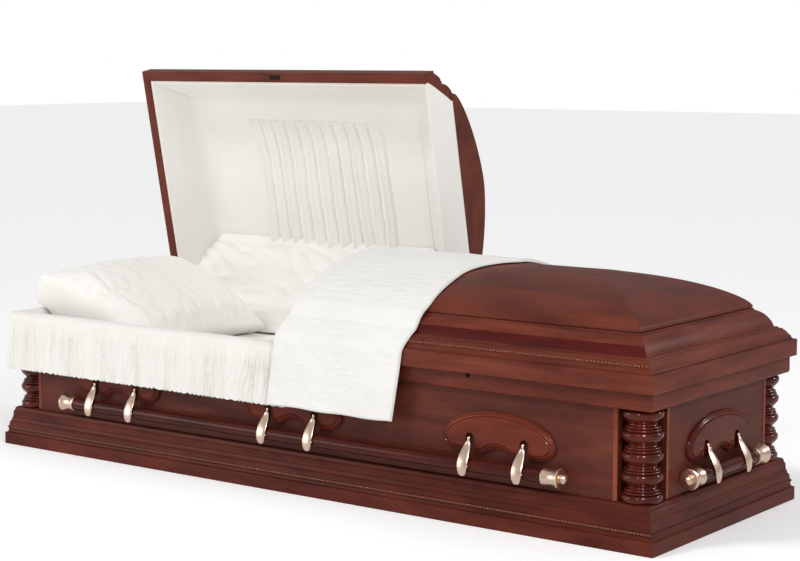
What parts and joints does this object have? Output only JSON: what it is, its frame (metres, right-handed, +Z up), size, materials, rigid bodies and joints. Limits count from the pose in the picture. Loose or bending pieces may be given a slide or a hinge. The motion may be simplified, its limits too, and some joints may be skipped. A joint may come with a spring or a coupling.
{
  "type": "funeral casket",
  "caption": "Half-couch hardwood funeral casket with a stepped moulded base, turned corner columns, swing-bar handles, a raised crown lid and a white crepe interior.",
  "frame": {"origin": "centre of the casket's footprint, on the surface it stands on", "axes": "+X towards the foot end, along the length; +Y towards the back, where the lid hinges; +Z up"},
  "size_m": [2.1666, 0.8908, 1.0727],
  "materials": {
    "wood": "reddish brown cherry stain under a satin to gloss lacquer",
    "turned_wood": "darker reddish brown stain under a high gloss lacquer",
    "board": "bare unfinished board",
    "brass": "bright champagne-coloured plated metal",
    "hinge_metal": "plain satin metal",
    "crepe": "off-white crinkled crepe"
  },
  "bodies": {
    "body": {"base_moulding": "wood", "floor_board": "board", "front_wall": "wood", "back_wall": "wood", "foot_end_wall": "wood", "head_end_wall": "wood", "body_rim": "wood", "column_foot_front": "turned_wood", "column_foot_back": "turned_wood", "column_head_back": "turned_wood", "column_head_front": "turned_wood", "body_lining": "crepe", "mattress": "crepe", "pillow": "crepe", "skirt": "crepe", "front_plate_1": "wood", "front_plate_2": "wood", "front_plate_3": "wood", "back_plate_1": "wood", "back_plate_2": "wood", "back_plate_3": "wood", "foot_end_plate": "wood", "head_end_plate": "wood"},
    "head_lid": {"head_lid_frame": "wood", "head_lid_crown": "wood", "head_lid_lining": "crepe", "head_lid_hinge": "hinge_metal"},
    "foot_lid": {"foot_lid_frame": "wood", "foot_lid_crown": "wood", "foot_lid_lining": "crepe", "foot_lid_hinge": "hinge_metal", "throw": "crepe"},
    "front_handle": {"front_bar": "turned_wood", "front_tip_left": "brass", "front_tip_right": "brass", "front_arm_1": "brass", "front_arm_2": "brass", "front_arm_3": "brass", "front_arm_4": "brass", "front_arm_5": "brass", "front_arm_6": "brass"},
    "back_handle": {"back_bar": "turned_wood", "back_tip_left": "brass", "back_tip_right": "brass", "back_arm_1": "brass", "back_arm_2": "brass", "back_arm_3": "brass", "back_arm_4": "brass", "back_arm_5": "brass", "back_arm_6": "brass"},
    "foot_end_handle": {"foot_end_bar": "turned_wood", "foot_end_tip_left": "brass", "foot_end_tip_right": "brass", "foot_end_arm_1": "brass", "foot_end_arm_2": "brass"},
    "head_end_handle": {"head_end_bar": "turned_wood", "head_end_tip_left": "brass", "head_end_tip_right": "brass", "head_end_arm_1": "brass", "head_end_arm_2": "brass"}
  },
  "joints": [
    {"name": "head_lid_hinge", "type": "hinge", "parent": "body", "child": "head_lid", "pos_m": [-0.52, 0.3512, 0.363], "axis": [1, 0, 0], "range_deg": [0, 78.8], "deforming": ["pillow", "skirt", "throw"]},
    {"name": "foot_lid_hinge", "type": "hinge", "parent": "body", "child": "foot_lid", "pos_m": [0.54, 0.3512, 0.363], "axis": [-1, 0, 0], "range_deg": [0, 78.8]},
    {"name": "front_handle_swing", "type": "hinge", "parent": "body", "child": "front_handle", "pos_m": [0, -0.3447, 0.207], "axis": [-1, 0, 0], "range_deg": [0, 65]},
    {"name": "back_handle_swing", "type": "hinge", "parent": "body", "child": "back_handle", "pos_m": [0, 0.3447, 0.207], "axis": [1, 0, 0], "range_deg": [0, 65]},
    {"name": "foot_end_handle_swing", "type": "hinge", "parent": "body", "child": "foot_end_handle", "pos_m": [1.0505, 0, 0.207], "axis": [0, -1, 0], "range_deg": [0, 65]},
    {"name": "head_end_handle_swing", "type": "hinge", "parent": "body", "child": "head_end_handle", "pos_m": [-1.0505, 0, 0.207], "axis": [0, 1, 0], "range_deg": [0, 65]}
  ]
}
